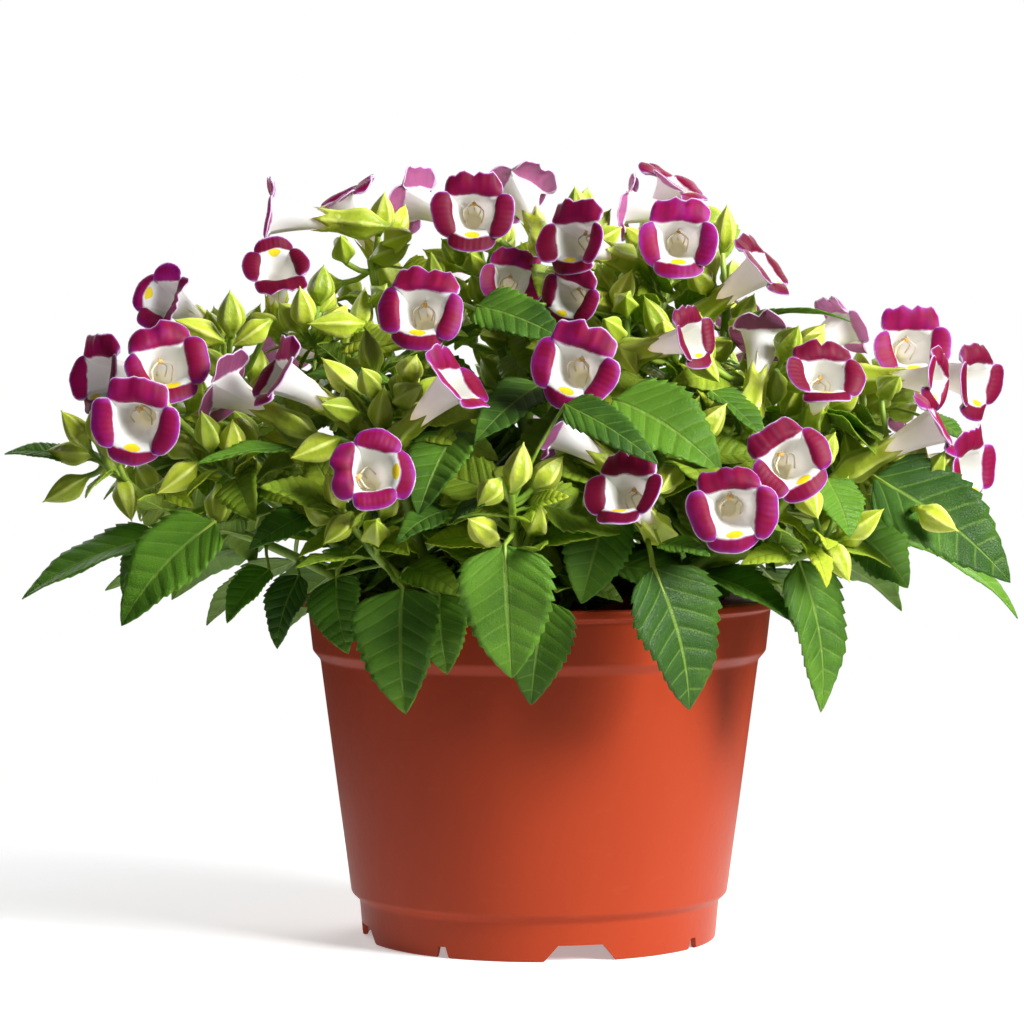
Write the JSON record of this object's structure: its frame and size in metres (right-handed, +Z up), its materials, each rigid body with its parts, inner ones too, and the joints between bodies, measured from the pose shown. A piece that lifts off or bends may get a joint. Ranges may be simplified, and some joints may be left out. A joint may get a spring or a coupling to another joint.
{
  "type": "potted torenia",
  "caption": "Bushy flowering house plant with toothed leaves and tubular four-lobed flowers, growing from soil in a tapered round nursery pot with a collar and a notched foot.",
  "frame": {"origin": "on the surface that the pot stands on, below the middle of the whole plant's box; the pot's own axis is 8 mm to its right", "axes": "+Z up, -Y towards the front of the picture, +X to the picture's right, along the plant's longest extent"},
  "size_m": [0.2922, 0.2006, 0.2281],
  "materials": {
    "pot": "satin terracotta-coloured injection-moulded plastic",
    "soil": "matt dark peat with crumbs",
    "foliage": "soft satin green of leaves, stems and calyces",
    "petal": "velvety crimson and purple with white throat and tube"
  },
  "bodies": {
    "root": {"pot": "pot", "soil": "soil", "shoot_left": "foliage", "shoot_high_left": "foliage", "shoot_top": "foliage", "shoot_front_left": "foliage", "shoot_front_mid": "foliage", "shoot_high_right": "foliage", "shoot_right": "foliage", "shoot_far_right": "foliage", "shoot_front_right": "foliage", "shoot_back_left": "foliage", "shoot_back_mid": "foliage", "shoot_back_right": "foliage", "bloom_01": "petal", "bloom_02": "petal", "bloom_03": "petal", "bloom_04": "petal", "bloom_05": "petal", "bloom_06": "petal", "bloom_07": "petal", "bloom_08": "petal", "bloom_09": "petal", "bloom_10": "petal", "bloom_11": "petal", "bloom_12": "petal", "bloom_13": "petal", "bloom_14": "petal", "bloom_15": "petal", "bloom_16": "petal", "bloom_17": "petal", "bloom_18": "petal", "bloom_19": "petal", "bloom_20": "petal", "bloom_21": "petal", "bloom_22": "petal", "bloom_23": "petal", "bloom_24": "petal", "bloom_25": "petal", "bloom_26": "petal", "bloom_27": "petal", "bloom_28": "petal", "bloom_29": "petal", "bloom_30": "petal", "bloom_31": "petal", "bloom_32": "petal", "bloom_33": "petal", "bloom_34": "petal", "bloom_35": "petal", "bloom_36": "petal", "bloom_37": "petal", "bloom_38": "petal", "bloom_39": "petal", "bloom_40": "petal", "bloom_41": "petal", "bloom_42": "petal", "bloom_43": "petal", "bloom_44": "petal", "bloom_45": "petal", "bloom_46": "petal"}
  },
  "joints": []
}
